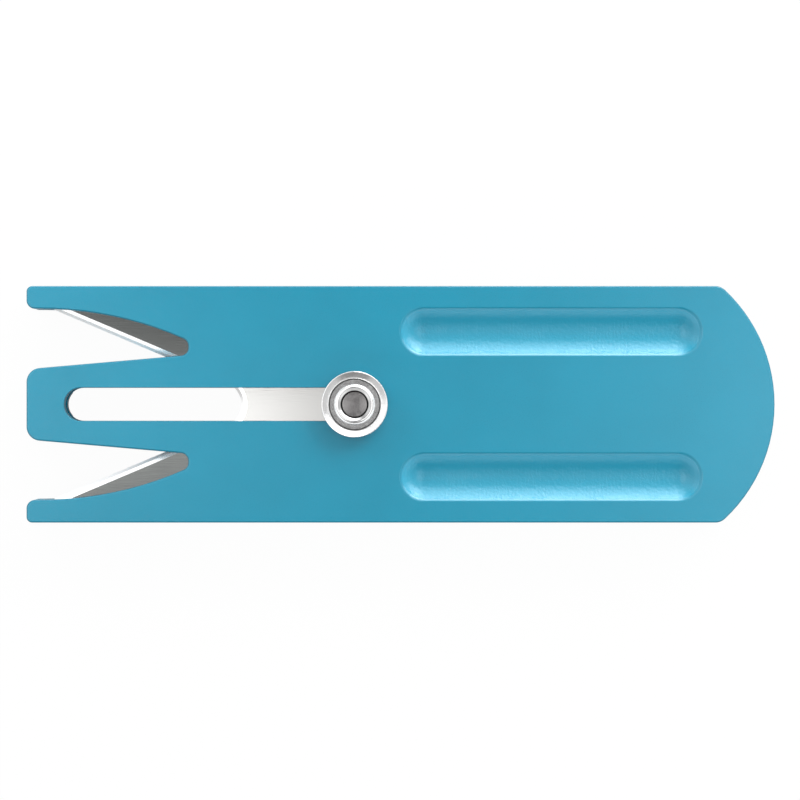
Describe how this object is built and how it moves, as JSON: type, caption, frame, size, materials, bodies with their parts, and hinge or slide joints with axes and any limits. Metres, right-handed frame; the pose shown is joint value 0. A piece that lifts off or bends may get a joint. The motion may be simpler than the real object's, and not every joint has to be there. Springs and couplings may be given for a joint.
{
  "type": "divot repair tool",
  "caption": "Flat pocket divot repair tool: a thumb stud in a long slot slides a two-tined steel fork out of a pronged aluminium case with finger grooves.",
  "frame": {"origin": "middle of the flat back face, which is the bottom of the closed tool's bounding box", "axes": "+Z out of the thumb side, -X towards the prongs and the way the fork comes out, +X towards the rounded butt, +Y across the tool"},
  "size_m": [0.08, 0.0252, 0.0078],
  "materials": {
    "case_front": "turquoise anodised, fine satin",
    "case_back": "turquoise anodised, fine satin",
    "fork_steel": "fine ground, with a brighter ground bevel",
    "stud_polished": "turned and polished",
    "post_dark": "dark satin steel",
    "fastener_steel": "turned stainless steel",
    "slide_plastic": "natural acetal"
  },
  "bodies": {
    "case": {"front_cover": "case_front", "back_cover": "case_back", "guide_bush_left": "fastener_steel", "guide_bush_right": "fastener_steel", "bush_screws": "fastener_steel", "butt_screws": "fastener_steel", "dowel_pins": "fastener_steel", "detent_ball_left": "stud_polished", "detent_ball_right": "stud_polished", "detent_spring_left": "fastener_steel", "detent_spring_right": "fastener_steel"},
    "slider": {"fork": "fork_steel", "slide_post": "post_dark", "thumb_flange": "stud_polished", "thumb_collar": "stud_polished", "drag_washer": "slide_plastic", "front_slide_shoe": "slide_plastic", "back_slide_shoe": "slide_plastic", "retaining_washer": "fastener_steel", "post_screw": "fastener_steel"}
  },
  "joints": [
    {"name": "fork_slide", "type": "slide", "parent": "case", "child": "slider", "axis": [-1, 0, 0], "range_m": [0, 0.02785]}
  ]
}
